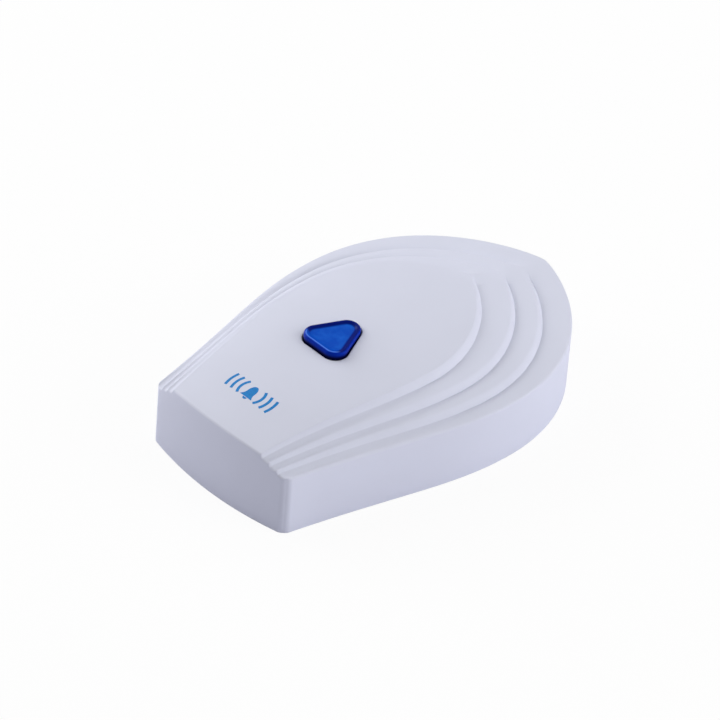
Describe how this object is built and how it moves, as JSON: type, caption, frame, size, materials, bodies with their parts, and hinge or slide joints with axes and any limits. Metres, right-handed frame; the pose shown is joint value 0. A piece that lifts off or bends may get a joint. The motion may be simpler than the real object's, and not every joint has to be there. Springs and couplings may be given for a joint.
{
  "type": "wireless doorbell push button",
  "caption": "Wall-mounted wireless doorbell transmitter: domed white shell with terraced shoulders, a pointed top end and a rounded-triangle blue push button.",
  "frame": {"origin": "middle of the back face, where the transmitter meets the wall", "axes": "+Z out of the wall through the button, +Y up the wall from the flat end to the pointed end, +X to the right of a visitor"},
  "size_m": [0.0546, 0.085, 0.0219],
  "materials": {
    "shell_white": "satin moulded plastic",
    "back_white": "fine moulded texture",
    "button_blue": "glossy translucent plastic",
    "board_green": "solder mask on glass laminate",
    "black_moulding": "moulded plastic",
    "chip_black": "matt resin",
    "tinned_steel": "tinned",
    "resonator_can": "nickel plated",
    "copper_wire": "enamelled copper",
    "led_lens": "clear epoxy",
    "capacitor_can": "satin",
    "battery_wrap": "plain printed steel",
    "battery_seal": "moulded plastic",
    "nickel_strip": "nickel plated",
    "screw_steel": "zinc plated",
    "ceramic_tan": "ceramic"
  },
  "bodies": {
    "case": {"front_cover": "shell_white", "back_plate": "back_white", "circuit_board": "board_green", "switch_base": "black_moulding", "switch_frame": "tinned_steel", "switch_legs": "tinned_steel", "encoder_chip": "chip_black", "chip_legs": "tinned_steel", "saw_resonator": "resonator_can", "resonator_leads": "tinned_steel", "rf_transistor": "chip_black", "transistor_legs": "tinned_steel", "antenna_coil": "copper_wire", "indicator_led": "led_lens", "led_leads": "tinned_steel", "reservoir_capacitor": "capacitor_can", "capacitor_base": "black_moulding", "battery_can": "battery_wrap", "battery_terminal": "tinned_steel", "battery_seal": "battery_seal", "positive_contact": "nickel_strip", "negative_contact": "nickel_strip", "negative_spring": "nickel_strip", "board_screw_1": "screw_steel", "board_screw_2": "screw_steel", "board_screw_3": "screw_steel", "chip_resistor_1": "chip_black", "chip_resistor_2": "chip_black", "chip_resistor_3": "chip_black", "chip_resistor_4": "chip_black", "chip_capacitor_1": "ceramic_tan", "chip_capacitor_2": "ceramic_tan", "chip_capacitor_3": "ceramic_tan", "chip_capacitor_4": "ceramic_tan"},
    "button": {"push_button": "button_blue"},
    "plunger": {"switch_plunger": "black_moulding"}
  },
  "joints": [
    {"name": "button_press", "type": "slide", "parent": "case", "child": "button", "axis": [0, 0, -1], "range_m": [0, 0.0003], "stiffness_N_per_m": 4000},
    {"name": "plunger_press", "type": "slide", "parent": "case", "child": "plunger", "axis": [0, 0, -1], "range_m": [0, 0.0003]}
  ],
  "couplings": [
    {"joint": "plunger_press", "follows": "button_press", "ratio": 1}
  ]
}
